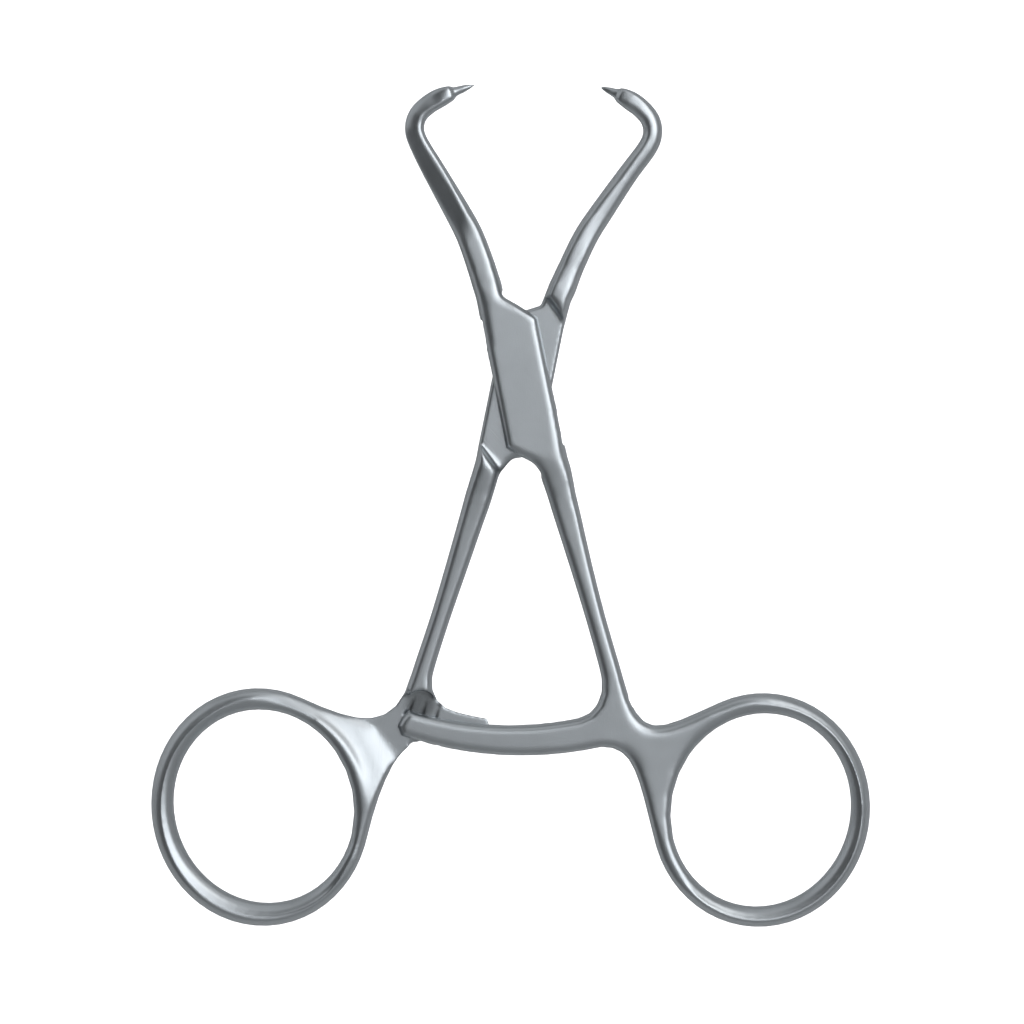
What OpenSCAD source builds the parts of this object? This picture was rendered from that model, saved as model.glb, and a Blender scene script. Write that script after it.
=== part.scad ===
// Bone reduction forceps with pointed jaws, a box lock, finger rings and a side ratchet.
// It lies on the back of its lock: X runs across, Y towards the points, Z up to the viewer.
// The origin is on the pin axis, at the back face of the lock.
// Each half is drawn in its own lock frame, with the lock upright, the jaw bowed to -X
// and the ring on +X. The male half is the mirror image of that drawing.

/* [Jaws] */
// Distance from the pin axis up to the ground points
jaw_reach = 44; // [37:0.5:52]
// How far the knee of a jaw stands out from the lock's centre line
jaw_bow = 8; // [6.7:0.1:9.5]
// Width of a jaw round its knee
jaw_w = 2.9; // [2.5:0.05:3.4]
// Thickness of a jaw round its knee
jaw_t = 2.9; // [2.5:0.05:3.4]
// Width of a jaw where its point grows out
jaw_end_w = 2.1; // [1.8:0.05:2.4]
// Length of a ground point
point_len = 3.6; // [3:0.1:4.3]
// How much shorter the male point is
male_point_less = 0.7; // [0.5:0.05:0.9]
// Diameter of a ground point at its foot
point_d = 1.45; // [1.2:0.05:1.7]
// Angle by which a ground point rises from straight across
point_lift = 8; // [5:0.5:11]
// How far the male jaw is set outwards, in degrees
male_jaw_set = 5.3; // [4.4:0.1:6.3]
// How much further its knee is set outwards, in degrees
male_knee_set = 0.4; // [0.3:0.1:0.6]
// How much further the male jaw reaches than the female one
male_jaw_more = 0.9; // [0.7:0.1:1.1]
// How much slimmer the male jaw is, as a share of its taper
male_slim = 0.25; // [0.2:0.01:0.3]

/* [Box lock] */
// Width of the lock
lock_w = 8.9; // [7.6:0.1:10.4]
// Thickness of the lock over both cheeks
lock_t = 5.2; // [4.6:0.1:6.1]
// Distance from the pin axis to the outer corner of a cheek's end
cheek_len = 9; // [7.6:0.05:10.4]
// How much further the cheek's end reaches at its inner corner
cheek_slant = 4.1; // [3.4:0.1:4.8]
// How much lower the male lock's inner corner lies
male_corner_drop = 1.45; // [1.2:0.05:1.7]
// How far the lock's sides draft and round inwards to its faces
lock_round = 1.2; // [1:0.05:1.4]
// Height of the slot between the cheeks
slot_t = 2; // [1.7:0.05:2.4]
// Play between the male plate and each cheek
plate_play = 0.05; // [0.03:0.01:0.1]
// Gap left at each end of the slot when the jaws are shut
slot_gap = 0.4; // [0.3:0.05:0.5]
// Gap left at each shoulder when the jaws are shut
shoulder_gap = 0.5; // [0.4:0.05:0.7]
// How far a shoulder of the male half slopes back
shoulder_slope = 0.7; // [0.5:0.05:0.9]
// Diameter of the pin
pin_d = 2.6; // [2.2:0.1:3.1]
// Radial play of the male half on the pin
pin_play = 0.04; // [0.02:0.01:0.08]

/* [Shanks] */
// Width of a shank at its narrowest
shank_w = 2.9; // [2.5:0.05:3.4]
// Thickness of a shank above the ratchet
shank_t = 3.3; // [2.8:0.05:3.9]
// How far the foot of the female shank stands out from the lock's centre line
foot_out = 4.3; // [3.6:0.1:5.1]
// How far the male shank and ring are set outwards, in degrees
male_shank_set = 2.2; // [1.9:0.05:2.6]

/* [Ratchet] */
// Distance from the pin axis to the middle of the ratchet bars
ratchet_r = 51.9; // [45:0.1:60]
// Width of each bar
bar_w = 4.9; // [4.2:0.1:5.8]
// How much nearer to the pin the short bar lies
short_bar_in = 0.6; // [0.4:0.05:0.8]
// How much the long bar narrows towards its end
bar_taper = 0.9; // [0.7:0.05:1.1]
// Angle from the female lock line to the end of the long bar
long_bar_reach = 31; // [28:0.5:35]
// Angle from the male lock line to the end of the short bar
short_bar_reach = 6; // [5:0.5:7]
// Gap between the facing sides of the two bars
bar_gap = 0.1; // [0.08:0.01:0.16]
// Distance from one ratchet tooth to the next
tooth_pitch = 2.05; // [1.7:0.05:2.4]
// Depth of a ratchet tooth
tooth_h = 0.5; // [0.4:0.05:0.6]
// Number of teeth in each bar
teeth = 3; // [2:1:3]
// Radius of the arch that opens the male shank above its teeth
arch_r = 2.3; // [2.2:0.05:2.5]
// Length of the slope that leads from the ratchet up to the male ring's web
web_slope = 11; // [9:0.5:13]

/* [Finger rings] */
// Long inner diameter of a ring
hole_long = 28.3; // [24:0.1:34]
// Short inner diameter of a ring
hole_short = 26; // [22:0.2:31]
// Width of the ring's wire
wire_w = 2.95; // [2.6:0.05:3.5]
// How much wider the male ring's wire is at the ends of its long axis
male_wire_more = 0.3; // [0.2:0.05:0.4]
// Thickness of the ring's wire
wire_t = 3.2; // [2.7:0.05:3.8]
// Distance from the lock's centre line to the ring's inner flank
ring_out = 5.45; // [4.7:0.05:6.6]
// How far the ring's top reaches up past the middle of the ratchet bars
ring_up = 0.8; // [0.6:0.05:1]
// How far the male ring is set further outwards
male_ring_out = 0.49; // [0.3:0.01:0.7]
// How much lower the male ring lies
male_ring_down = 0.04; // [0:0.01:0.1]
// How far the outer edge of the male ring is set outwards from its hole
male_wire_out = 0.45; // [0.35:0.01:0.5]
// How far the outer edge of the male ring is set down from its hole
male_wire_down = 0.2; // [0.15:0.01:0.25]

/* [Pose] */
// Angle of each lock to the upright, half of what is left to close
lock_tilt = 11.5; // [8:0.5:14]

/* [Hidden] */
$fn = 64;
steel = [0.62, 0.65, 0.67];
dark_steel = [0.52, 0.56, 0.58];
pin_steel = [0.70, 0.72, 0.73];
mid_z = lock_t / 2;
plate_t = slot_t - 2 * plate_play;
edge_steps = 10;
spline_steps = 3;
fillet_steps = 8;
ring_step = 6;
// Direction of the long axis of a ring's hole and of its outer edge
ring_axis = 60;
wire_axis = 70;
// Directions in which the web runs into a ring, and where its two halves meet at the hole
merge_right = 99;
merge_left = 186;
split = 131;
// Pull of the web's curves at the shank, at the ring and at the bar. Less pull leaves a fuller web.
female_shank_pull = 10.4;
male_shank_pull = 9.1;
ring_pull = 10;
bar_low_pull = 4.8;
bar_up_pull = 2.5;
// Angles from the foot to where a bar's lower and upper edge begin
bar_low_root = 2.2;
bar_up_root = 4.9;
// Distance below the shank's end from which the web's face is drawn
web_middle = 0.14 * ratchet_r;
// Distances of a bar's nose from its lower and its upper edge, and angles from the bar's end of
// the nose's two corners and of the ends of the two edges
nose_low = 1.2;
nose_up = 1.4;
nose_turn = [-0.5, -0.3];
edge_turn = [0.6, 0.4];
// Angles from the end of each bar to its first tooth, and where the long bar's room ends
long_first_tooth = 1.5;
short_first_tooth = 3.5;
long_bar_room_end = 17;
// How far the tooth gaps start inside the bars' inner edge, and the tilt of those in the short bar
long_tooth_in = 1;
short_tooth_in = 1.9;
short_tooth_tilt = 7;
// Angles by which the room for a bar runs on past the bar's end and past its root
room_past_end = 2;
room_past_root = 1.5;
// Place of the arch, from the bars' inner edge upwards and from the foot outwards, and of a second,
// lower circle that clears the inner flank
arch_up = 0.2;
arch_turn = 1.2;
arch_low = [-0.9, -0.6];
// Heights below the face at which the rounding of a shoulder is drawn
shoulder_roll = [0.45, 0.12, -0.02];
// Foot of the slope up to the male web, its direction, and the ring's band that stands above it
ramp_foot = [3.3, 1.35];
ramp_turn = -60;
ring_band = 1.85;
front_z = mid_z + bar_gap / 2;
back_z = mid_z - bar_gap / 2;
cheek_top = cheek_len + cheek_slant;
cheek_angle = atan2(cheek_slant, lock_w / 2);
cheek_line = cheek_top * cos(cheek_angle);
bar_in = ratchet_r - bar_w / 2;
bar_out = ratchet_r + bar_w / 2;
foot_angle = asin(foot_out / ratchet_r);
pitch_angle = tooth_pitch / ratchet_r * 180 / PI;
// Heights from which the halves start to spread, above and below the pin
jaw_spread_y = 5;
shank_spread_y = -6;
// Space that the bars need round each other
bar_room = 0.5;
out_of_way = 20;

// Plane geometry
function turn(p, a) = [p[0] * cos(a) - p[1] * sin(a), p[0] * sin(a) + p[1] * cos(a)];
function spread_up(p, a) = p[1] > jaw_spread_y
    ? turn([p[0], p[1] - jaw_spread_y], a) + [0, jaw_spread_y]
    : [p[0], p[1]];
function spread_down(p, a) = [p[0] + max(0, shank_spread_y - p[1]) * tan(a), p[1]];
function mix(a, b, t) = a + (b - a) * t;
function below(r, a) = [r * sin(a), -r * cos(a)];
function plane_part(q) = [q[0], q[1]];
function unit(v) = v / norm(v);
function bezier(a, b, c, d, t) =
    pow(1 - t, 3) * a + 3 * t * pow(1 - t, 2) * b + 3 * t * t * (1 - t) * c + pow(t, 3) * d;
function smooth_row(a, b, c, d, t) =
    0.5 * (2 * b + (c - a) * t + (2 * a - 5 * b + 4 * c - d) * t * t + (3 * b - a - 3 * c + d) * pow(t, 3));
function smooth_rows(rows, steps) = [
    for (i = [0:len(rows) - 2])
        for (k = [0:steps - 1])
            smooth_row(rows[max(i - 1, 0)], rows[i], rows[i + 1], rows[min(i + 2, len(rows) - 1)], k / steps),
    rows[len(rows) - 1]
];
function backwards(list) = [for (i = [len(list) - 1:-1:0]) list[i]];

// A row of a limb is its centre x and y, width, half thickness, edge roll and squareness.
// An outline point is x, y, half thickness, edge roll and squareness.
function with_place(row, p) = concat(p, [for (k = [2:5]) row[k]]);
function side_point(rows, i, side) =
    let (
        ahead = rows[min(i + 1, len(rows) - 1)],
        behind = rows[max(i - 1, 0)],
        along = unit([ahead[0] - behind[0], ahead[1] - behind[1]]),
        row = rows[i]
    )
    [
        row[0] - side * along[1] * row[2] / 2,
        row[1] + side * along[0] * row[2] / 2,
        row[3],
        min(row[4], 0.45 * row[2]),
        row[5]
    ];
function side_points(rows, side) = [for (i = [0:len(rows) - 1]) side_point(rows, i, side)];

// Jaw, from the foot of its point down to the lock
function jaw_width(t) = mix(jaw_w, lock_w / 2, t);
function jaw_half_t(t) = mix(jaw_t / 2, mid_z, t);
function jaw_plan(reach, slim) = [
    [-0.17 * jaw_bow, 0.989 * reach, jaw_end_w, 0.4 * jaw_t, 0.18 * jaw_end_w, 2.1],
    [-0.41 * jaw_bow, 0.981 * reach, 0.98 * jaw_w, 0.48 * jaw_t, 0.2 * jaw_w, 2.1],
    [-0.66 * jaw_bow, 0.966 * reach, jaw_w, jaw_t / 2, 0.32 * jaw_w, 2.1],
    [-0.89 * jaw_bow, 0.938 * reach, jaw_w, jaw_t / 2, jaw_w / 2, 2.1],
    [-jaw_bow, 0.895 * reach, jaw_w, jaw_t / 2, jaw_w / 2, 2.1],
    [-0.97 * jaw_bow, 0.845 * reach, 1.03 * jaw_w, 0.51 * jaw_t, jaw_w / 2, 2.1],
    [-0.81 * jaw_bow, 0.752 * reach, jaw_width(0.35 - slim), jaw_half_t(0.1), 1.4, 2.3],
    [-0.56 * jaw_bow, 0.614 * reach, jaw_width(0.62 - slim), jaw_half_t(0.28), 1.3, 2.6],
    [-0.40 * jaw_bow, 0.516 * reach, jaw_width(0.76 - slim), jaw_half_t(0.45), 1.2, 3],
    [-0.31 * jaw_bow, 0.410 * reach, jaw_width(0.87 - slim), jaw_half_t(0.65), 1.2, 3.4],
    [-0.25 * lock_w + 0.1, cheek_top + 1.8, jaw_width(0.95 - slim / 2), jaw_half_t(0.9), 1.2, 3.8]
];
function jaw_rows(reach, slim, set, knee_set) = smooth_rows([
    for (row = jaw_plan(reach, slim))
        with_place(row, spread_up(row, row[1] > 0.8 * reach ? set + knee_set : set))
], spline_steps);

// Shank, from the lock down to the ratchet
function shank_plan(slim) = [
    [lock_w / 4, -cheek_len - 4.5, mix(lock_w / 2 + 0.4, shank_w, 1.7 * slim), 0.94 * mid_z, 1.2, 3.6],
    [mix(lock_w / 4, foot_out, 0.09), -0.33 * ratchet_r, mix(shank_w, lock_w / 2, 0.85 - slim / 2),
        mix(shank_t / 2, mid_z, 0.5), 1.2, 3.2],
    [mix(lock_w / 4, foot_out, 0.21), -0.40 * ratchet_r, mix(shank_w, lock_w / 2, 0.65 - slim / 2),
        mix(shank_t / 2, mid_z, 0.3), 1.2, 2.8],
    [mix(lock_w / 4, foot_out, 0.44), -0.54 * ratchet_r, mix(shank_w, lock_w / 2, 0.24),
        mix(shank_t / 2, mid_z, 0.1), 1.2, 2.6],
    [mix(lock_w / 4, foot_out, 0.71), -0.69 * ratchet_r, shank_w, shank_t / 2, 1.2, 2.5],
    [mix(lock_w / 4, foot_out, 0.96), -0.82 * ratchet_r, 1.03 * shank_w, shank_t / 2, 1.2, 2.5],
    [foot_out, -0.86 * ratchet_r, 1.08 * shank_w, shank_t / 2, 1.2, 2.5]
];
function shank_rows(slim, set) = smooth_rows([
    for (row = shank_plan(slim)) with_place(row, spread_down(row, set))
], 2);

// Lock corners, as outline points, in pairs from the right and the left side.
// The male lock's inner corner lies a little lower, by drop.
function lock_point(p) = concat(p, [mid_z, lock_round, 4]);
function lock_right(drop) = [
    lock_point([0.1 - 0.35 * drop, cheek_top - drop]),
    lock_point([lock_w / 2, cheek_len]),
    lock_point([lock_w / 2, -cheek_len]),
    lock_point([lock_w / 2, -cheek_len - 1.6]),
    lock_point([lock_w / 2, -cheek_len - 2.9])
];
function lock_left(drop, set) = [
    lock_point([0.25 - lock_w / 2 - 0.1 * set, cheek_top]),
    lock_point([0.2 - lock_w / 2 - 0.03 * set, cheek_len]),
    lock_point([-lock_w / 2, -cheek_len]),
    lock_point([-0.34 * lock_w, -cheek_len - 0.34 * cheek_slant]),
    lock_point([-0.11 * lock_w + 0.1 * drop, -cheek_len - (0.75 - 0.15 * drop) * cheek_slant])
];

// Finger ring: an oval hole, and a wider oval round it
hole_across = sqrt(pow(hole_long * cos(ring_axis), 2) + pow(hole_short * sin(ring_axis), 2)) / 2;
hole_along = sqrt(pow(hole_long * sin(ring_axis), 2) + pow(hole_short * cos(ring_axis), 2)) / 2;
ring_centre = [ring_out + wire_w + hole_across, ring_up - ratchet_r - wire_w - hole_along];
function oval_r(a, long, short) = 1 / sqrt(pow(cos(a) / long, 2) + pow(sin(a) / short, 2));
function hole_xy(a, place) = place[0] + turn([oval_r(a - ring_axis, hole_long / 2, hole_short / 2), 0], a);
function rim_xy(a, place) = place[1] + turn([
    oval_r(a - wire_axis, hole_long / 2 + wire_w + place[2], hole_short / 2 + wire_w), 0], a);
// Direction along the rim at the angle a, towards smaller angles
function rim_way(a, place) = unit(rim_xy(a - 1, place) - rim_xy(a + 1, place));
// Centre of a ring's hole, centre of its rim, growth of the rim's long axis, and pull of the web
male_hole = spread_down(ring_centre, male_shank_set) + [male_ring_out, -male_ring_down];
female_ring = [ring_centre, ring_centre, 0, female_shank_pull];
male_ring = [male_hole, male_hole + [male_wire_out, -male_wire_down], male_wire_more, male_shank_pull];
function wire_roll(a, place) = 0.45 * norm(rim_xy(a, place) - hole_xy(a, place));
function rim_point(a, place) = concat(rim_xy(a, place), [wire_t / 2, wire_roll(a, place), 2.1]);
function hole_point(a, place) = concat(hole_xy(a, place), [wire_t / 2, wire_roll(a, place), 2.1]);
function foot_point(p) = concat(p, [shank_t / 2, 1.2, 2.5]);
function foot_curve(from, out, back, to, steps) = [
    for (k = [1:steps - 1]) foot_point(bezier(from, from + out, to + back, to, k / steps))
];

// The stretches of a half's outline, clockwise from the inner side of the jaw's end, then the hole.
// The bar leaves the foot at the shank's inner side and ends at the angle bar_end.
function half_parts(jaw, shank, drop, jaw_set, ring, r_in, r_out, bar_end, taper) =
    let (
        right = concat(side_points(jaw, 1), lock_right(drop), side_points(shank, 1)),
        left = concat(side_points(jaw, -1), lock_left(drop, jaw_set), side_points(shank, -1)),
        right_end = plane_part(right[len(right) - 1]),
        left_end = plane_part(left[len(left) - 1]),
        foot = asin(left_end[0] / ratchet_r),
        low_root = foot - bar_low_root,
        up_root = foot - bar_up_root,
        web_right = foot_curve(right_end, ring[3] * [0.06, -1], -ring[3] * rim_way(merge_right, ring),
            rim_xy(merge_right, ring), fillet_steps),
        web_left = foot_curve(rim_xy(merge_left, ring), ring_pull * rim_way(merge_left, ring),
            bar_low_pull * [1, -0.17], below(r_out, low_root), fillet_steps),
        web_up = foot_curve(below(r_in, up_root), [bar_up_pull, 0], bar_up_pull * [-0.04, -1],
            left_end, fillet_steps / 2),
        steps = ceil(abs(bar_end - foot) / 3),
        lower = [for (k = [0:steps]) foot_point(below(
            r_out, mix(low_root, bar_end + edge_turn[0], k / steps)))],
        upper = [for (k = [0:steps]) foot_point(below(
            r_in + taper * k / steps, mix(up_root, bar_end + edge_turn[1], k / steps)))],
        nose = [
            foot_point(below(r_out - nose_low, bar_end + nose_turn[0])),
            foot_point(below(r_in + taper + nose_up, bar_end + nose_turn[1]))
        ],
        ring_end = merge_left - 360,
        ring_angles = concat([for (a = [merge_right:-ring_step:ring_end + 1]) a], [ring_end]),
        round = [for (a = ring_angles) rim_point(a, ring)],
        half = fillet_steps / 2,
        hole_angles = concat(
            [for (k = [0:half - 1]) mix(split, merge_right, k / half)],
            ring_angles,
            [for (k = [1:half - 1]) mix(merge_left, split, k / half) - 360]),
        hole = [for (a = hole_angles) hole_point(a, ring)]
    )
    [right, web_right, round, web_left, lower, nose, backwards(upper), web_up, backwards(left), hole];

// Inward direction at point k of a loop, stretched at corners so that the roll keeps its width
function inward(loop, k, hand) =
    let (
        n = len(loop),
        p = [loop[k][0], loop[k][1]],
        before = [loop[(k + n - 1) % n][0], loop[(k + n - 1) % n][1]],
        after = [loop[(k + 1) % n][0], loop[(k + 1) % n][1]],
        u = unit(p - before),
        v = unit(after - p),
        m = unit(u + v),
        reach = min(1.5, 1 / max(0.5, m * u))
    )
    [hand * m[1] * reach, -hand * m[0] * reach];

// Points down the edge at one outline point, from the front face to the back face.
// A round edge is a plain roll, and a square one has flanks that draft away from the parting line.
function edge_points(q, toward) = [
    for (j = [0:edge_steps])
        let (
            a = 180 * j / edge_steps,
            out = pow(abs(sin(a)), 2 / q[4]),
            up = pow(abs(cos(a)), 2 / q[4]),
            draft = 0.5 * min(1, max(0, q[4] / 2 - 1)),
            in = q[3] * (draft * up + (1 - draft) * (1 - out))
        )
        [q[0] + toward[0] * in, q[1] + toward[1] * in, mid_z + q[2] * up * sign(cos(a))]
];
function wall(loop, hand) = [
    for (k = [0:len(loop) - 1])
        each edge_points(loop[k], inward(loop, k, hand))
];

// One half of the forging, before its lock and its ratchet are cut
module forging(parts) {
    outer = [for (k = [0:8]) each parts[k]];
    hole = parts[9];
    row = edge_steps + 1;
    n_out = len(outer);
    n_hole = len(hole);
    n_limb = len(parts[0]);
    n_bar = len(parts[4]);
    half = fillet_steps / 2;
    // Index of the first point of each stretch of the outline
    ring_at = n_limb + half - 1;
    left_at = n_limb + len(parts[1]) + len(parts[2]);
    low_at = left_at + half - 1;
    bar_at = left_at + len(parts[3]);
    bar_back = bar_at + 2 * n_bar + 1;
    left_end_at = n_out - n_limb;
    foot_middle = (plane_part(outer[n_limb - 1]) + plane_part(outer[left_end_at])) / 2 - [0, web_middle];
    centre = (n_out + n_hole) * row;
    points = concat(wall(outer, 1), wall(hole, -1),
        [[foot_middle[0], foot_middle[1], mid_z + shank_t / 2]],
        [[foot_middle[0], foot_middle[1], mid_z - shank_t / 2]]);
    web = concat([for (k = [n_limb - 1:ring_at]) k], [n_out], [for (k = [low_at:bar_at]) k],
        [for (k = [bar_back:left_end_at]) k]);
    caps = concat(
        [for (i = [0:n_limb - 2]) each [
            [i, i + 1, n_out - 2 - i],
            [i, n_out - 2 - i, n_out - 1 - i]
        ]],
        [for (k = [0:n_hole - 1]) each [
            [ring_at + k, ring_at + k + 1, n_out + (k + 1) % n_hole],
            [ring_at + k, n_out + (k + 1) % n_hole, n_out + k]
        ]],
        [for (k = [0:n_bar - 1]) each [
            [bar_at + k, bar_at + k + 1, bar_back - k - 1],
            [bar_at + k, bar_back - k - 1, bar_back - k]
        ]]
    );
    front = [for (f = caps) [for (k = f) k * row]];
    back = [for (f = caps) [for (k = [2, 1, 0]) f[k] * row + edge_steps]];
    front_web = [for (k = [0:len(web) - 1]) [centre, web[k] * row, web[(k + 1) % len(web)] * row]];
    back_web = [for (k = [0:len(web) - 1])
        [centre + 1, web[(k + 1) % len(web)] * row + edge_steps, web[k] * row + edge_steps]];
    outer_wall = [for (k = [0:n_out - 1]) for (j = [0:edge_steps - 1])
        let (a = k * row + j, b = ((k + 1) % n_out) * row + j)
        each [[a, a + 1, b + 1], [a, b + 1, b]]];
    hole_wall = [for (k = [0:n_hole - 1]) for (j = [0:edge_steps - 1])
        let (a = (n_out + k) * row + j, b = (n_out + (k + 1) % n_hole) * row + j)
        each [[a, b, b + 1], [a, b + 1, a + 1]]];
    polyhedron(points, concat(front, back, front_web, back_web, outer_wall, hole_wall));
}

// Ground point at the end of a jaw, a slender ogive with a fine flat tip
module ground_point(reach, set, length) {
    foot = spread_up([-0.17 * jaw_bow, 0.989 * reach], set);
    root = 0.6;
    r = point_d / 2;
    translate([foot[0], foot[1], mid_z])
        rotate([0, 0, point_lift + 0.3 * set])
            rotate([0, 90, 0])
                rotate_extrude($fn = 32)
                    polygon([[0, -root], [r, -root], [r, 0.1 * length], [0.86 * r, 0.4 * length],
                        [0.55 * r, 0.75 * length], [0.12 * r, length], [0, length]]);
}

// A block with the given section, drawn across the cheek ends, that runs the whole way through
module across_lock(section) {
    rotate([0, 0, cheek_angle - 90])
        rotate([90, 0, 0])
            translate([0, 0, -out_of_way])
                linear_extrude(2 * out_of_way)
                    polygon(section);
}

// Slot between the cheeks, its ends parallel to the cheeks' ends
module slot() {
    reach = cheek_line + slot_gap;
    low = mid_z - slot_t / 2;
    high = mid_z + slot_t / 2;
    across_lock([[-reach, low], [reach, low], [reach, high], [-reach, high]]);
}

// Room for one cheek over the male plate, between its two rounded shoulders
module cheek_room(face) {
    foot = cheek_line + shoulder_gap;
    level = mid_z + face * plate_t / 2;
    top = mid_z + face * (mid_z + 1);
    edge = mid_z + face * mid_z;
    side = [
        [foot, level],
        [foot + 0.5 * shoulder_slope, edge - face * shoulder_roll[0]],
        [foot + shoulder_slope, edge - face * shoulder_roll[1]],
        [foot + 1.7 * shoulder_slope, edge - face * shoulder_roll[2]],
        [foot + 1.7 * shoulder_slope, top]
    ];
    across_lock(concat(side, [for (k = [len(side) - 1:-1:0]) [-side[k][0], side[k][1]]]));
}

// A ring sector about the pin, with angles counted from straight down towards the ring's side
module sector(r_in, r_out, low, high, from, to) {
    rotate_extrude(start = from - 90, angle = to - from, $fn = 180)
        polygon([[r_in, low], [r_out, low], [r_out, high], [r_in, high]]);
}

// One tooth gap across a bar, cut in its facing side at the angle at. face is 1 on a front side,
// steep tells which flank holds, and a tilted cut runs out on the side towards the pin.
module tooth_gap(at, start_r, level, face, steep, tilt) {
    half = 0.36 * tooth_pitch;
    profile = [[-steep * half * 3, 2 * face * tooth_h], [steep * half * 0.7, -face * tooth_h],
        [steep * half * 1.4, 2 * face * tooth_h]];
    rotate([0, 0, at])
        translate([0, -start_r, level])
            rotate([90 + face * tilt, 0, 0])
                linear_extrude(bar_out + 1 - start_r)
                    polygon(profile);
}

module female_half() {
    color(steel) rotate([0, 0, lock_tilt]) difference() {
        union() {
            forging(half_parts(jaw_rows(jaw_reach, 0, 0, 0), shank_rows(0, 0), 0, 0, female_ring,
                bar_in, bar_out, -long_bar_reach, bar_taper));
            ground_point(jaw_reach, 0, point_len);
        }
        union() {
            slot();
            translate([0, 0, -1])
                cylinder(d = pin_d, h = lock_t + 2);
            // Room for the short bar behind the long bar and the foot
            sector(bar_in - short_bar_in - bar_room, bar_out + bar_room, -1, front_z,
                -long_bar_reach - room_past_end, short_bar_reach + room_past_root);
            for (k = [0:teeth - 1])
                tooth_gap(long_first_tooth - long_bar_reach + k * pitch_angle, bar_in - long_tooth_in,
                    front_z, -1, 1, 0);
        }
    }
}

module male_half() {
    color(dark_steel) rotate([0, 0, -lock_tilt]) mirror([1, 0, 0]) difference() {
        union() {
            forging(half_parts(
                jaw_rows(jaw_reach + male_jaw_more, male_slim, male_jaw_set, male_knee_set),
                shank_rows(male_slim, male_shank_set), male_corner_drop, male_jaw_set, male_ring,
                bar_in - short_bar_in, bar_out - short_bar_in, -short_bar_reach, bar_taper / 3));
            ground_point(jaw_reach + male_jaw_more, male_jaw_set + male_knee_set,
                point_len - male_point_less);
        }
        union() {
            cheek_room(1);
            cheek_room(-1);
            translate([0, 0, -1])
                cylinder(d = pin_d + 2 * pin_play, h = lock_t + 2);
            // Room for the long bar in front of the foot and the web
            sector(bar_in - short_bar_in - bar_room, bar_out + bar_room, back_z, lock_t,
                -short_bar_reach - room_past_end, long_bar_room_end);
            arch = below(bar_in - arch_up, foot_angle + arch_turn);
            for (k = [0, 1])
                translate([arch[0] + k * arch_low[0], arch[1] + k * arch_low[1], back_z])
                    cylinder(r = arch_r, h = lock_t);
            web_ramp();
            for (k = [0:teeth - 1])
                tooth_gap(short_first_tooth + k * pitch_angle, bar_in - short_tooth_in, back_z + tooth_h,
                    1, -1, short_tooth_tilt);
        }
    }
}

// The slope from the ratchet up to the front of the male ring's web. It runs on past the front
// face, and the ring's band stands above it.
module web_ramp() {
    start = [foot_out + ramp_foot[0], ramp_foot[1] - bar_out];
    rise = mid_z + shank_t / 2 - back_z;
    low_end = 0.1 * web_slope;
    past = 1.3;
    band = hole_short / 2 + ring_band;
    difference() {
        translate([start[0], start[1], back_z])
            rotate([0, 0, ramp_turn])
                rotate([90, 0, 0])
                    translate([0, 0, -out_of_way])
                        linear_extrude(2 * out_of_way)
                            polygon([[-1, 0], [low_end, 0], [mix(low_end, web_slope, past), past * rise],
                                [-1, past * rise]]);
        translate([male_ring[0][0], male_ring[0][1], back_z])
            rotate_extrude($fn = 120)
                polygon([[0, -1], [band + rise + 1, -1], [band - 1, rise + 1], [0, rise + 1]]);
    }
}

module joint_pin() {
    color(pin_steel) cylinder(d = pin_d, h = lock_t);
}

female_half();
male_half();
joint_pin();
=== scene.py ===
import math

import bmesh
import bpy
import numpy as np
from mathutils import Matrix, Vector


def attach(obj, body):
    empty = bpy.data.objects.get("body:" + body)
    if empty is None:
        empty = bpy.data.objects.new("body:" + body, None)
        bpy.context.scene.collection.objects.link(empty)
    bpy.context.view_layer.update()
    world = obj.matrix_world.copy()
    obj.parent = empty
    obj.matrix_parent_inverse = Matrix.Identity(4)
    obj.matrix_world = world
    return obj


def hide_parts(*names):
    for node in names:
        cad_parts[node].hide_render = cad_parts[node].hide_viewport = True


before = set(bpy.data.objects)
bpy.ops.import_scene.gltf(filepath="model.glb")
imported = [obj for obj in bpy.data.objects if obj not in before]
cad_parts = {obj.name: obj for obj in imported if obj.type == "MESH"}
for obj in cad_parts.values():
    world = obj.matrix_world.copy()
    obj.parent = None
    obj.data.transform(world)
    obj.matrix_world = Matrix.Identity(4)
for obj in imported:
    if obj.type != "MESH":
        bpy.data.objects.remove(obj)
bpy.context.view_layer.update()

MM = 0.001

# The photograph's frame: the pin axis lies at this pixel, at this many pixels to the millimetre.
# The camera stands this many metres above the parting height, and its sensor is in millimetres.
PHOTO_SIDE = 1024
PIN_PIXEL = (522, 383)
PIXELS_PER_MM = 6.86
CAMERA_HEIGHT = 0.5
LENS_SENSOR = 36

# Sizes of the solids that the skins follow. The parting height is the middle of the lock, and the
# foot height lies just under the long bar. The lock is turned by its tilt from the y axis.
LOCK_HEIGHT = 5.2 * MM
PARTING_HEIGHT = 2.6 * MM
FOOT_HEIGHT = 2.54 * MM
TOOTH_GROOVE = 0.9 * MM
LOCK_TILT = math.radians(11.5)
PIN_RADIUS = 1.3 * MM
PIN_SIDES = 96

# How the forgings are finished: an even skin over the solid, its edges softened by tumbling.
# The bore is closed round the pin by a plug a little wider than it, and then drilled again.
WELD = 0.002 * MM
SKIN_STEP = 0.21 * MM
SOFTEN_STEPS = 5
SOFTEN_SHARE = 0.5
PLUG_RADIUS = 1.03 * PIN_RADIUS
DRILL_PAST = 1 * MM
SHARP_ANGLE = math.radians(50)

# Insets in millimetres of the nested boxes that a softened place is smoothed in
SOFTEN_INSETS = (0, 0.5, 1.0, 1.5)
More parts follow.
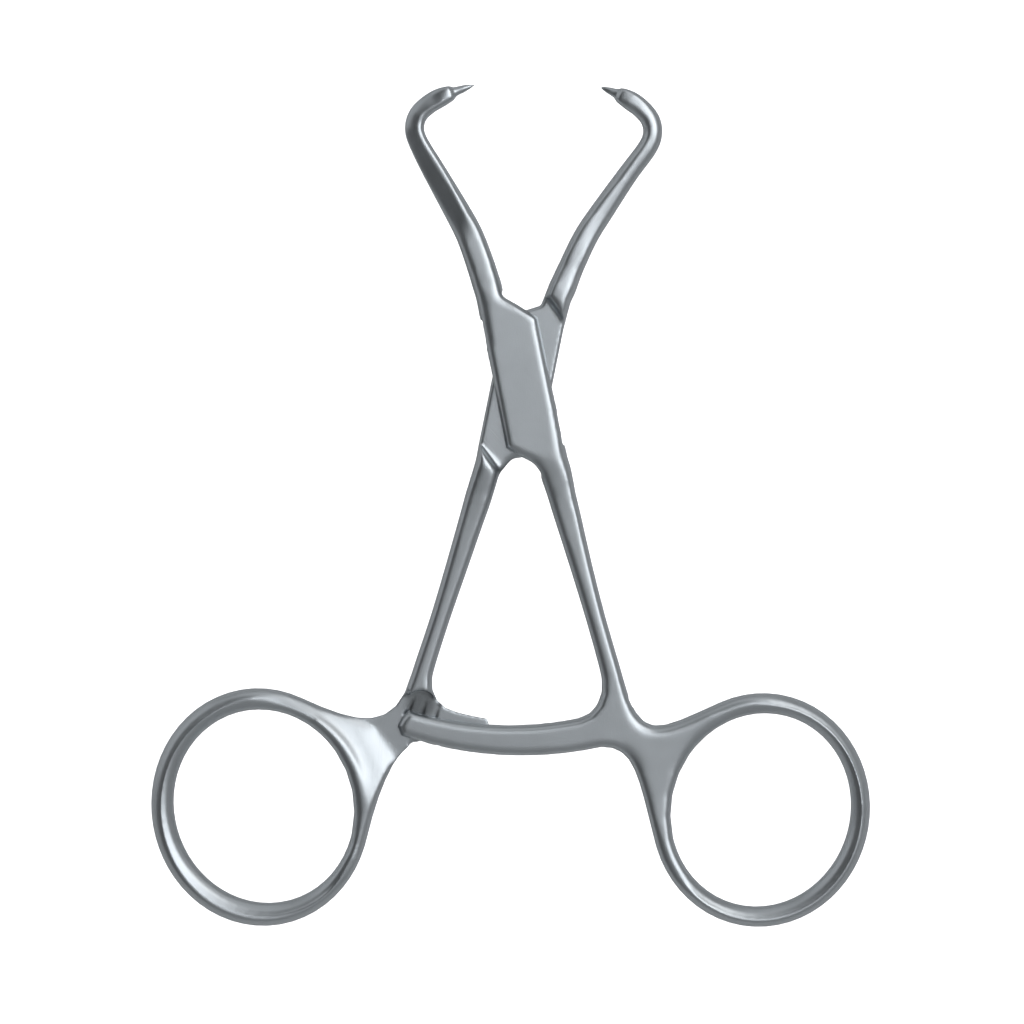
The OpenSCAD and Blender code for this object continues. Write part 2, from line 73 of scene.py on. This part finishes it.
# How far the lock's flanks are brought out, and where, in millimetres in the lock's frame: from
# the inner to the outer of these distances from its axis, and between two rises along it
FLANK_FILL = 0.15 * MM
FLANK_SIDE = (3.2, 4.2)
UPPER_FLANK = ((1, 9), (9.6, 10.1))
LOWER_FLANK = ((-9.4, -8.9), (-9, -1))

# Middle line of a jaw in its own lock frame, from the point down: x, y and width in millimetres
FEMALE_JAW = (
    (-1.36, 43.52, 2.10), (-3.28, 43.16, 2.84), (-5.28, 42.50, 2.90), (-7.12, 41.27, 2.90),
    (-8.00, 39.38, 2.90), (-7.76, 37.18, 2.99), (-6.48, 33.09, 3.44), (-4.48, 27.02, 3.86),
    (-3.20, 22.70, 4.08), (-2.48, 18.04, 4.25), (-2.12, 14.90, 4.37),
)
MALE_JAW = (
    (-1.39, 44.41, 2.10), (-3.28, 44.04, 2.84), (-5.28, 43.37, 2.90), (-7.12, 42.12, 2.90),
    (-8.00, 40.19, 2.90), (-7.76, 37.94, 2.99), (-6.48, 33.76, 3.06), (-4.48, 27.57, 3.47),
    (-3.20, 23.17, 3.69), (-2.48, 18.41, 3.86), (-2.12, 14.90, 4.18),
)
# The male jaw is spread by this angle about a point this far up its lock frame
MALE_JAW_SET = math.radians(5.3)
JAW_SPREAD_Y = 5 * MM
# Past this distance from its middle line a place is no part of the jaw
JAW_REACH = 3 * MM
# Along the jaw, in millimetres from the point: where the crown begins, and where its ridge moves
CROWN_START = (0.5, 3.5)
RIDGE_SHIFT = (14, 24)

# Middles of the ring holes in millimetres, and how far from them the crests may reach
FEMALE_RING = (34.6, -62.3)
MALE_RING = (-37.4, -61.8)
RING_REACH = 20 * MM
# Where the crest lies from the middle of the band, as shares of its half width: an even one, and
# one that turns from the inside at the top to the outside below
RING_CREST = (0.05, 0.25)
# How much the edges of the band are lowered, and the turn in degrees over which the crest fades
RING_EDGE = 0.36
CREST_FADE = 25
# Share of the half width past which the band's steep sides count as lying at this share
BAND_SIDE = 0.97


# Node groups


def new_group(name, inputs, outputs):
    """An empty shader group with named sockets."""
    group = bpy.data.node_groups.new(name, "ShaderNodeTree")
    for label, kind, value in inputs:
        socket = group.interface.new_socket(label, in_out="INPUT", socket_type=kind)
        if value is not None:
            socket.default_value = value
    for label, kind in outputs:
        group.interface.new_socket(label, in_out="OUTPUT", socket_type=kind)
    return group, group.nodes.new("NodeGroupInput"), group.nodes.new("NodeGroupOutput")


def node(tree, kind, **settings):
    """A node with its properties and input values set by name."""
    made = tree.nodes.new(kind)
    for key, value in settings.items():
        if key == "inputs":
            for socket, number in value.items():
                made.inputs[socket].default_value = number
        else:
            setattr(made, key, value)
    return made


def satin_group():
    """Bead-blasted, lightly brushed steel: colour mottle, roughness and a fine height."""
    tree, source, sink = new_group(
        "satin_grain",
        [("Vector", "NodeSocketVector", None), ("Colour", "NodeSocketColor", (0.6, 0.6, 0.6, 1)),
         ("Roughness", "NodeSocketFloat", 0.3), ("Mottle", "NodeSocketFloat", 0.06)],
        [("Colour", "NodeSocketColor"), ("Roughness", "NodeSocketFloat"),
         ("Height", "NodeSocketFloat")],
    )
    link = tree.links.new
    cloud = node(tree, "ShaderNodeTexNoise", inputs={"Scale": 260, "Detail": 3, "Roughness": 0.6})
    grain = node(tree, "ShaderNodeTexNoise", inputs={"Scale": 5200, "Detail": 2, "Roughness": 0.6})
    squash = node(tree, "ShaderNodeMapping", inputs={"Scale": (9000, 900, 9000)})
    brushed = node(tree, "ShaderNodeTexNoise", inputs={"Scale": 1, "Detail": 2, "Roughness": 0.5})
    link(source.outputs["Vector"], cloud.inputs["Vector"])
    link(source.outputs["Vector"], grain.inputs["Vector"])
    link(source.outputs["Vector"], squash.inputs["Vector"])
    link(squash.outputs["Vector"], brushed.inputs["Vector"])

    tone = node(tree, "ShaderNodeMath", operation="SUBTRACT", inputs={1: 0.5})
    link(cloud.outputs["Fac"], tone.inputs[0])
    scaled = node(tree, "ShaderNodeMath", operation="MULTIPLY")
    link(tone.outputs[0], scaled.inputs[0])
    link(source.outputs["Mottle"], scaled.inputs[1])
    bright = node(tree, "ShaderNodeMath", operation="ADD", inputs={1: 1.0})
    link(scaled.outputs[0], bright.inputs[0])
    colour = node(tree, "ShaderNodeVectorMath", operation="SCALE")
    link(source.outputs["Colour"], colour.inputs[0])
    link(bright.outputs[0], colour.inputs["Scale"])
    link(colour.outputs[0], sink.inputs["Colour"])

    rough = node(tree, "ShaderNodeMath", operation="ADD")
    link(scaled.outputs[0], rough.inputs[0])
    link(source.outputs["Roughness"], rough.inputs[1])
    link(rough.outputs[0], sink.inputs["Roughness"])

    height = node(tree, "ShaderNodeMath", operation="ADD")
    link(grain.outputs["Fac"], height.inputs[0])
    link(brushed.outputs["Fac"], height.inputs[1])
    link(height.outputs[0], sink.inputs["Height"])
    return tree


SATIN = satin_group()


def round_patch_group():
    """A mask that is 1 at a place on the piece and fades to 0 with the distance from it."""
    tree, source, sink = new_group(
        "round_patch",
        [("Vector", "NodeSocketVector", None), ("Middle", "NodeSocketVector", (0, 0, 0)),
         ("Core", "NodeSocketFloat", 0.001), ("Reach", "NodeSocketFloat", 0.003)],
        [("Mask", "NodeSocketFloat")],
    )
    link = tree.links.new
    away = node(tree, "ShaderNodeVectorMath", operation="DISTANCE")
    fade = node(tree, "ShaderNodeMapRange", interpolation_type="SMOOTHSTEP",
                inputs={"To Min": 1, "To Max": 0})
    link(source.outputs["Vector"], away.inputs[0])
    link(source.outputs["Middle"], away.inputs[1])
    link(away.outputs["Value"], fade.inputs["Value"])
    link(source.outputs["Core"], fade.inputs["From Min"])
    link(source.outputs["Reach"], fade.inputs["From Max"])
    link(fade.outputs["Result"], sink.inputs["Mask"])
    return tree


ROUND_PATCH = round_patch_group()


def grinding_marks_group():
    """Fine parallel grinding marks along a direction turned about the plan's normal."""
    tree, source, sink = new_group(
        "grinding_marks",
        [("Vector", "NodeSocketVector", None), ("Turn", "NodeSocketVector", (0, 0, 0))],
        [("Height", "NodeSocketFloat")],
    )
    link = tree.links.new
    turn = node(tree, "ShaderNodeVectorRotate", rotation_type="EULER_XYZ")
    squash = node(tree, "ShaderNodeMapping", inputs={"Scale": (4200, 120, 120)})
    marks = node(tree, "ShaderNodeTexNoise", inputs={"Scale": 1, "Detail": 2, "Roughness": 0.6})
    link(source.outputs["Vector"], turn.inputs["Vector"])
    link(source.outputs["Turn"], turn.inputs["Rotation"])
    link(turn.outputs["Vector"], squash.inputs["Vector"])
    link(squash.outputs["Vector"], marks.inputs["Vector"])
    link(marks.outputs["Fac"], sink.inputs["Height"])
    return tree


GRINDING_MARKS = grinding_marks_group()


def round_patch(tree, place, middle, core, reach):
    """The mask of a round patch whose middle, core and reach are in millimetres."""
    patch = node(tree, "ShaderNodeGroup", node_tree=ROUND_PATCH)
    patch.inputs["Middle"].default_value = [c * MM for c in middle]
    patch.inputs["Core"].default_value = core * MM
    patch.inputs["Reach"].default_value = reach * MM
    tree.links.new(place.outputs["Object"], patch.inputs["Vector"])
    return patch.outputs["Mask"]


# How deep the bump of the grain and the grinding marks is taken to be
GRAIN_DEPTH = 0.02 * MM


def steel(name, colour, roughness, mottle, bump, painted_shade_pockets=(), ground=()):
    """A steel with the satin grain, on object coordinates, with painted shade darkening its colour
    round given places in its hollows, and with grinding marks where it was ground. A painted shade
    place is a middle, core, reach and shade; a ground place is a place, core, reach, turn in
    degrees and depth."""
    made = bpy.data.materials.new(name)
    made.use_nodes = True
    tree = made.node_tree
    shader = tree.nodes["Principled BSDF"]
    shader.inputs["Metallic"].default_value = 1
    place = node(tree, "ShaderNodeTexCoord")
    satin = node(tree, "ShaderNodeGroup", node_tree=SATIN)
    satin.inputs["Colour"].default_value = (*colour, 1)
    satin.inputs["Roughness"].default_value = roughness
    satin.inputs["Mottle"].default_value = mottle
    relief = node(tree, "ShaderNodeBump", inputs={"Strength": bump, "Distance": GRAIN_DEPTH})
    link = tree.links.new
    link(place.outputs["Object"], satin.inputs["Vector"])
    tone = satin.outputs["Colour"]
    # Painted shade: the colour is darkened towards the middle of each listed place, where shade
    # falls in the hollow
    for middle, core, reach, shade in painted_shade_pockets:
        patch = round_patch(tree, place, middle, core, reach)
        dim = node(tree, "ShaderNodeMapRange", inputs={"To Min": 1, "To Max": shade})
        darker = node(tree, "ShaderNodeVectorMath", operation="SCALE")
        link(patch, dim.inputs["Value"])
        link(tone, darker.inputs[0])
        link(dim.outputs["Result"], darker.inputs["Scale"])
        tone = darker.outputs[0]
    height = satin.outputs["Height"]
    for middle, core, reach, turn, depth in ground:
        patch = round_patch(tree, place, middle, core, reach)
        marks = node(tree, "ShaderNodeGroup", node_tree=GRINDING_MARKS)
        marks.inputs["Turn"].default_value = (0, 0, math.radians(turn))
        deep = node(tree, "ShaderNodeMath", operation="MULTIPLY", inputs={1: depth})
        cut = node(tree, "ShaderNodeMath", operation="MULTIPLY_ADD")
        link(place.outputs["Object"], marks.inputs["Vector"])
        link(patch, deep.inputs[0])
        link(marks.outputs["Height"], cut.inputs[0])
        link(deep.outputs[0], cut.inputs[1])
        link(height, cut.inputs[2])
        height = cut.outputs[0]
    link(tone, shader.inputs["Base Color"])
    link(satin.outputs["Roughness"], shader.inputs["Roughness"])
    link(height, relief.inputs["Height"])
    link(relief.outputs["Normal"], shader.inputs["Normal"])
    return made


# Colour, roughness, mottle and bump of the satin steel that all three pieces are made of
SATIN_STEEL = ((0.60, 0.63, 0.65), 0.33, 0.10, 0.25)
# Painted shade in the ratchet's pocket on the male half: middle, core and reach in millimetres, and
# the share of the colour left at its middle
RATCHET_POCKET_PAINTED_SHADE = ((-14.7, -46.9, 2.6), 1.2, 3.0, 0.45)
LEFT_PLATE_MARKS = ((-4.3, -8.0, 3.3), 2.0, 3.6, -42, 3)
RIGHT_PLATE_MARKS = ((4.6, 6.4, 3.4), 0.6, 1.4, -70, 1.5)
WEB_MARKS = ((-23, -53, 3.2), 3, 7, 4, 2.2)

FEMALE_STEEL = steel("satin_forging_steel", *SATIN_STEEL)
MALE_STEEL = steel(
    "satin_forging_steel_male", *SATIN_STEEL,
    painted_shade_pockets=(RATCHET_POCKET_PAINTED_SHADE,),
    ground=(LEFT_PLATE_MARKS, RIGHT_PLATE_MARKS, WEB_MARKS),
)
PIN_STEEL = steel("ground_pin_steel", *SATIN_STEEL)

# The three pieces


def applied(piece):
    """The piece with its modifiers made part of its mesh."""
    depsgraph = bpy.context.evaluated_depsgraph_get()
    data = bpy.data.meshes.new_from_object(piece.evaluated_get(depsgraph))
    piece.modifiers.clear()
    piece.data = data
    return piece


def new_piece(name, mesh):
    """An object made from a bmesh, which is freed."""
    data = bpy.data.meshes.new(name)
    mesh.to_mesh(data)
    mesh.free()
    piece = bpy.data.objects.new(name, data)
    bpy.context.collection.objects.link(piece)
    return piece


def pin_shape(radius, low, high):
    """A cylinder on the pin axis."""
    mesh = bmesh.new()
    bmesh.ops.create_cone(mesh, cap_ends=True, segments=PIN_SIDES,
                          radius1=radius, radius2=radius, depth=high - low)
    bmesh.ops.translate(mesh, verts=mesh.verts, vec=(0, 0, (low + high) / 2))
    return mesh


def forging(name, pin_pressed_in):
    """A forged half: an even skin over the welded CAD solid, with its edges softened. Where the pin
    is pressed in, the skin closes up to it, which also leaves a thin sleeve round the pin across
    the slot that the solid doesn't have."""
    mesh = bmesh.new()
    mesh.from_mesh(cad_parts[name].data)
    bmesh.ops.remove_doubles(mesh, verts=mesh.verts, dist=WELD)
    if pin_pressed_in:
        plug = bpy.data.meshes.new("plug")
        shape = pin_shape(PLUG_RADIUS, 0, LOCK_HEIGHT)
        shape.to_mesh(plug)
        shape.free()
        mesh.from_mesh(plug)
    piece = new_piece(name + "_finished", mesh)
    skin = piece.modifiers.new("even skin", "REMESH")
    skin.mode = "VOXEL"
    skin.voxel_size = SKIN_STEP
    soft = piece.modifiers.new("softened edges", "SMOOTH")
    soft.factor = SOFTEN_SHARE
    soft.iterations = SOFTEN_STEPS
    applied(piece)
    if pin_pressed_in:
        drill = new_piece("drill", pin_shape(PIN_RADIUS, -DRILL_PAST, LOCK_HEIGHT + DRILL_PAST))
        bore = piece.modifiers.new("pin bore", "BOOLEAN")
        bore.operation = "DIFFERENCE"
        bore.object = drill
        bore.solver = "EXACT"
        applied(piece)
        bpy.data.objects.remove(drill)
    return piece


def points_of(piece):
    """The piece's vertices as an array."""
    flat = np.empty(len(piece.data.vertices) * 3)
    piece.data.vertices.foreach_get("co", flat)
    return flat.reshape(-1, 3)


def move_points(piece, points):
    """Puts an array of vertices back into the piece."""
    piece.data.vertices.foreach_set("co", points.ravel())
    piece.data.update()


def turned(points, angle):
    """The plan of the points turned about the pin axis."""
    c, k = math.cos(angle), math.sin(angle)
    x, y = points[:, 0], points[:, 1]
    return np.column_stack((x * c - y * k, x * k + y * c))


def eased(value, start, end):
    """0 before start, 1 after end, with a smooth rise between."""
    t = np.clip((value - start) / (end - start), 0, 1)
    return t * t * (3 - 2 * t)


def across_limb(plan, rows):
    """For each point, its place along the rows in millimetres from their start, its distance across
    the limb as a share of the half width, with a sign for the side, and its distance from the
    middle line."""
    best = np.full(len(plan), np.inf)
    across = np.zeros(len(plan))
    along = np.zeros(len(plan))
    travelled = 0.0
    for (xa, ya, wa), (xb, yb, wb) in zip(rows, rows[1:]):
        start, way = np.array((xa, ya)) * MM, np.array((xb - xa, yb - ya)) * MM
        length = np.linalg.norm(way)
        step = np.clip((plan - start) @ way / length ** 2, 0, 1)
        off = plan - start - step[:, None] * way
        distance = np.linalg.norm(off, axis=1)
        side = np.sign(way[0] * off[:, 1] - way[1] * off[:, 0])
        half = (wa + (wb - wa) * step) / 2 * MM
        nearer = distance < best
        best = np.where(nearer, distance, best)
        across = np.where(nearer, side * distance / half, across)
        along = np.where(nearer, travelled / MM + step * length / MM, along)
        travelled += length
    return along, across, best


def crown_jaw(piece, plan, rows, ridge, slope, faded):
    """Moves a jaw's ridge off the middle of its front face, by one share of the half width near the
    point and by another further down, and slopes the rest away from it."""
    points = points_of(piece)
    along, across, near = across_limb(plan, rows)
    u = np.clip(across, -1, 1)
    r = ridge[0] + (ridge[1] - ridge[0]) * eased(along, *RIDGE_SHIFT)
    sloped = np.where(u < r, 1 - slope * (r - u), np.sqrt((1 + r) / (1 + np.maximum(u, r))))
    share = eased(along, *CROWN_START) * (1 - eased(along, *faded))
    share *= (near < JAW_REACH) & (points[:, 2] > PARTING_HEIGHT)
    lift = 1 + share * (sloped - 1)
    points[:, 2] = PARTING_HEIGHT + (points[:, 2] - PARTING_HEIGHT) * lift
    move_points(piece, points)


def crown_ring(piece, centre, web_from, web_to):
    """Gives a ring's round band a soft crest in front, away from the web between two bearings."""
    points = points_of(piece)
    flat = np.empty(len(points) * 3)
    piece.data.vertices.foreach_get("normal", flat)
    normals = flat.reshape(-1, 3)
    out = points[:, :2] - np.array(centre) * MM
    distance = np.linalg.norm(out, axis=1)
    bearing = np.degrees(np.arctan2(out[:, 1], out[:, 0]))
    lean = np.sum(normals[:, :2] * out, axis=1) / distance
    u = np.clip(lean / np.hypot(lean, normals[:, 2]), -BAND_SIDE, BAND_SIDE)
    crest = RING_CREST[0] - RING_CREST[1] * np.sin(np.radians(bearing))
    w = np.where(u > crest, (u - crest) / (1 - crest), (u - crest) / (1 + crest))
    lowered = (1 - RING_EDGE * np.abs(w)) * np.sqrt((1 - w * w) / (1 - u * u))
    past_web = (bearing - web_from) % 360
    span = (web_to - web_from) % 360
    share = eased(past_web, span, span + CREST_FADE) * (1 - eased(past_web, 360 - CREST_FADE, 360))
    share = np.clip(share, 0, 1)
    share *= (distance < RING_REACH) & (points[:, 2] > PARTING_HEIGHT)
    points[:, 2] = PARTING_HEIGHT + (points[:, 2] - PARTING_HEIGHT) * (1 + share * (lowered - 1))
    move_points(piece, points)


def level_off(piece, start, end, core, reach, fill_reach):
    """Brings what stands above the foot height near a line in plan down to it, and fills the ends
    of the tooth grooves there. The line, its core and both reaches are given in millimetres."""
    points = points_of(piece)
    a, way = np.array(start) * MM, (np.array(end) - np.array(start)) * MM
    step = np.clip((points[:, :2] - a) @ way / (way @ way), 0, 1)
    distance = np.linalg.norm(points[:, :2] - a - step[:, None] * way, axis=1)
    cut_share = 1 - eased(distance, core * MM, reach * MM)
    points[:, 2] -= np.maximum(points[:, 2] - FOOT_HEIGHT, 0) * cut_share
    below = FOOT_HEIGHT - points[:, 2]
    fill_share = 1 - eased(distance, core * MM, fill_reach * MM)
    points[:, 2] += np.where((below > 0) & (below < TOOTH_GROOVE), below, 0) * fill_share
    move_points(piece, points)


def soften(piece, plan, low, high, steps, floor=-1):
    """Smooths the vertices above a floor whose plan lies in a box given in millimetres, with fewer
    steps towards the edge of the box."""
    heights = points_of(piece)[:, 2]
    mesh = bmesh.new()
    mesh.from_mesh(piece.data)
    mesh.verts.ensure_lookup_table()
    for inset in SOFTEN_INSETS:
        least, most = (np.array(low) + inset) * MM, (np.array(high) - inset) * MM
        chosen = np.all((plan > least) & (plan < most), axis=1) & (heights > floor)
        verts = [mesh.verts[i] for i in np.flatnonzero(chosen)]
        for _ in range(max(1, steps // len(SOFTEN_INSETS))):
            bmesh.ops.smooth_vert(mesh, verts=verts, factor=SOFTEN_SHARE,
                                  use_axis_x=True, use_axis_y=True, use_axis_z=True)
    mesh.to_mesh(piece.data)
    mesh.free()


def even_flanks(piece, plan):
    """Brings the lock's flanks out to those of the jaw above and the shank below."""
    points = points_of(piece)
    x, y = plan[:, 0] / MM, plan[:, 1] / MM
    left_side = 1 - eased(x, -FLANK_SIDE[1], -FLANK_SIDE[0])
    left = left_side * eased(y, *UPPER_FLANK[0]) * (1 - eased(y, *UPPER_FLANK[1]))
    right = eased(x, *FLANK_SIDE) * (1 - eased(y, *LOWER_FLANK[1])) * eased(y, *LOWER_FLANK[0])
    out = FLANK_FILL * (right - left)
    points[:, 0] += out * math.cos(LOCK_TILT)
    points[:, 1] += out * math.sin(LOCK_TILT)
    move_points(piece, points)


def finished(piece, material):
    """The piece in its material, smooth over everything but its sharp edges."""
    piece.data.materials.clear()
    piece.data.materials.append(material)
    piece.data.shade_smooth()
    piece.data.set_sharp_from_angle(angle=SHARP_ANGLE)
    return piece


# Places in plan that are softened further: two corners in millimetres, steps, and for some a floor
# that the smoothing stays above. They are the jaws, the right edge of the lock, its ends, the steps
# in its flanks, the webs and the foot of the ramp.
JAW_SOFTENED = ((-14, 15), (4, 60), 8)
LOCK_EDGE_SOFTENED = ((1.9, -13), (5.6, 9), 16, 4 * MM)
FEMALE_SOFTENED = (
    ((-5, -18), (8, -9.5), 24),
    ((-9.5, 5), (-3.4, 14), 28),
    ((3.9, -14), (10.5, -4), 28),
    ((-6.5, 10.2), (-1.2, 17.5), 20),
    ((16, -62), (36, -42), 12, PARTING_HEIGHT),
    ((14, -57), (27, -43), 36, PARTING_HEIGHT),
)
MALE_SOFTENED = (
    ((-8, -18), (1, -9.5), 24),
    ((5.4, 9), (11, 18), 20),
    ((-45, -69), (-16.8, -43), 44, PARTING_HEIGHT),
    ((-21.5, -56.5), (-12.5, -49.5), 32),
)
# The line in plan along which the foot of the ramp beside the long bar is levelled
RAMP_FOOT = ((-18.5, -50.4), (-16.2, -53.8))


def female_piece():
    """The female half: soft crests on its jaw and ring, and a broad right edge on the lock."""
    piece = forging("female_half", True)
    plan = turned(points_of(piece), -LOCK_TILT)
    crown_jaw(piece, plan, FEMALE_JAW, ridge=(0.8, 0.45), slope=0.36, faded=(21, 27))
    even_flanks(piece, plan)
    soften(piece, plan, *JAW_SOFTENED)
    soften(piece, plan, *LOCK_EDGE_SOFTENED)
    place = points_of(piece)[:, :2].copy()
    for softened in FEMALE_SOFTENED:
        soften(piece, place, *softened)
    crown_ring(piece, FEMALE_RING, web_from=95, web_to=215)
    return piece


def male_piece():
    """The male half: soft crests on its jaw and ring, and a web that flows under the long bar."""
    piece = forging("male_half", False)
    plan = turned(points_of(piece), LOCK_TILT) * (-1, 1)
    plan[:, 1] -= JAW_SPREAD_Y
    plan = turned(plan, -MALE_JAW_SET)
    plan[:, 1] += JAW_SPREAD_Y
    crown_jaw(piece, plan, MALE_JAW, ridge=(0.3, 0.5), slope=0.1, faded=(22, 30))
    soften(piece, plan, *JAW_SOFTENED)
    level_off(piece, *RAMP_FOOT, core=2.1, reach=4.2, fill_reach=2.7)
    place = points_of(piece)[:, :2].copy()
    for softened in MALE_SOFTENED:
        soften(piece, place, *softened)
    crown_ring(piece, MALE_RING, web_from=-35, web_to=100)
    return piece


def pin_piece():
    """The joint pin, ground flush with both faces of the lock."""
    return new_piece("joint_pin_finished", pin_shape(PIN_RADIUS, 0, LOCK_HEIGHT))


for piece, node_name, body, material, record_slot in (
    (female_piece(), "female_half", "female", FEMALE_STEEL, "satin_steel"),
    (male_piece(), "male_half", "male", MALE_STEEL, "satin_steel_male"),
    (pin_piece(), "joint_pin", "female", PIN_STEEL, "pin_steel"),
):
    finished(piece, material)
    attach(piece, body)
    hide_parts(node_name)

# Studio


# The floor's half side and the camera's clipping distances are in metres. The soft light is aimed
# at the middle of the part.
FLOOR_HALF_SIDE = 3
FLOOR_GAP = 0.05 * MM
FLOOR_GLOW = 1.3
LAMP_AIM = Vector((0, -18 * MM, 0))
CLIP_NEAR, CLIP_FAR = 0.01, 20


def studio_floor():
    """A white floor below the part, that the camera sees as pure white."""
    mesh = bmesh.new()
    bmesh.ops.create_grid(mesh, x_segments=1, y_segments=1, size=FLOOR_HALF_SIDE)
    bmesh.ops.translate(mesh, verts=mesh.verts, vec=(0, 0, -FLOOR_GAP))
    data = bpy.data.meshes.new("studio_floor")
    mesh.to_mesh(data)
    mesh.free()
    white = bpy.data.materials.new("studio_white")
    white.use_nodes = True
    tree = white.node_tree
    tree.nodes.clear()
    sheet = node(tree, "ShaderNodeBsdfDiffuse", inputs={"Color": (0.8, 0.8, 0.8, 1)})
    glow = node(tree, "ShaderNodeEmission",
                inputs={"Color": (1, 1, 1, 1), "Strength": FLOOR_GLOW})
    both = node(tree, "ShaderNodeAddShader")
    path = node(tree, "ShaderNodeLightPath")
    choose = node(tree, "ShaderNodeMixShader")
    out = node(tree, "ShaderNodeOutputMaterial")
    link = tree.links.new
    link(sheet.outputs[0], both.inputs[0])
    link(glow.outputs[0], both.inputs[1])
    link(path.outputs["Is Camera Ray"], choose.inputs["Fac"])
    link(sheet.outputs[0], choose.inputs[1])
    link(both.outputs[0], choose.inputs[2])
    link(choose.outputs[0], out.inputs["Surface"])
    data.materials.append(white)
    floor = bpy.data.objects.new("studio_floor", data)
    bpy.context.collection.objects.link(floor)


def softbox(name, azimuth, elevation, distance, width, height, watts):
    """A rectangular soft light aimed at the part. Azimuth 0 lies along +X, 90 along +Y."""
    a, e = math.radians(azimuth), math.radians(elevation)
    direction = Vector((math.cos(a) * math.cos(e), math.sin(a) * math.cos(e), math.sin(e)))
    lamp = bpy.data.lights.new(name, "AREA")
    lamp.shape = "RECTANGLE"
    lamp.size = width
    lamp.size_y = height
    lamp.energy = watts
    light = bpy.data.objects.new(name, lamp)
    light.location = LAMP_AIM + direction * distance
    light.rotation_mode = "QUATERNION"
    light.rotation_quaternion = direction.to_track_quat("Z", "Y")
    bpy.context.collection.objects.link(light)


# The room as the polished steel mirrors it: azimuth, angle from straight up, radius of the even
# core and radius at which it has faded, in degrees, and brightness. Azimuth 0 lies along +X.
ROOM_PATCHES = (
    ("overhead", 75, 14, 7, 20, 0.53),
    ("upper right window", 47, 31, 9, 19, 0.62),
    ("near window", 37, 18, 5, 11, 2.7),
    ("right window", 13, 35, 9, 17, 2.1),
    ("upper wall", 90, 60, 14, 30, 0.5),
    ("upper dark line", 98, 33, 3, 12, 0.06),
    ("left wall", 150, 72, 16, 34, 0.5),
    ("left dark", 158, 38, 14, 26, 0.04),
    ("near left dark", 188, 35, 14, 20, 0.01),
    ("lower left dark", 200, 55, 18, 36, 0.10),
)
ROOM_LEVEL = 0.26
ROOM_TINT = (0.97, 1.0, 1.03)


def studio_room():
    """Soft light from all round, with bright windows at the right and dark screens at the left."""
    world = bpy.data.worlds.new("studio_room")
    bpy.context.scene.world = world
    world.use_nodes = True
    tree = world.node_tree
    link = tree.links.new
    place = node(tree, "ShaderNodeTexCoord")
    level = node(tree, "ShaderNodeValue")
    level.outputs[0].default_value = ROOM_LEVEL
    so_far = level.outputs[0]
    for label, azimuth, off_zenith, core, reach, brightness in ROOM_PATCHES:
        a, z = math.radians(azimuth), math.radians(off_zenith)
        toward = node(tree, "ShaderNodeVectorMath", operation="DOT_PRODUCT", label=label)
        toward.inputs[1].default_value = (
            math.sin(z) * math.cos(a), math.sin(z) * math.sin(a), math.cos(z))
        fade = node(tree, "ShaderNodeMapRange", interpolation_type="SMOOTHSTEP", inputs={
            "From Min": math.cos(math.radians(reach)), "From Max": math.cos(math.radians(core))})
        patch = node(tree, "ShaderNodeMix", inputs={"B": brightness})
        link(place.outputs["Generated"], toward.inputs[0])
        link(toward.outputs["Value"], fade.inputs["Value"])
        link(fade.outputs["Result"], patch.inputs["Factor"])
        link(so_far, patch.inputs["A"])
        so_far = patch.outputs["Result"]
    tint = node(tree, "ShaderNodeVectorMath", operation="SCALE")
    tint.inputs[0].default_value = ROOM_TINT
    link(so_far, tint.inputs["Scale"])
    link(tint.outputs["Vector"], tree.nodes["Background"].inputs["Color"])


def photo_camera():
    """Straight above the part, with the pin axis at the photograph's pixel."""
    data = bpy.data.cameras.new("camera")
    data.sensor_width = LENS_SENSOR
    middle = PHOTO_SIDE / 2
    centre_x = (middle - PIN_PIXEL[0]) / PIXELS_PER_MM * MM
    centre_y = (PIN_PIXEL[1] - middle) / PIXELS_PER_MM * MM
    width = PHOTO_SIDE / PIXELS_PER_MM * MM
    data.lens = LENS_SENSOR * CAMERA_HEIGHT / width
    data.clip_start = CLIP_NEAR
    data.clip_end = CLIP_FAR
    camera = bpy.data.objects.new("camera", data)
    camera.location = (centre_x, centre_y, PARTING_HEIGHT + CAMERA_HEIGHT)
    bpy.context.collection.objects.link(camera)
    bpy.context.scene.camera = camera


bpy.context.scene.view_settings.view_transform = "Standard"
studio_floor()
studio_room()
softbox("key_softbox", azimuth=48, elevation=45, distance=1.0, width=0.5, height=0.5, watts=1)
photo_camera()
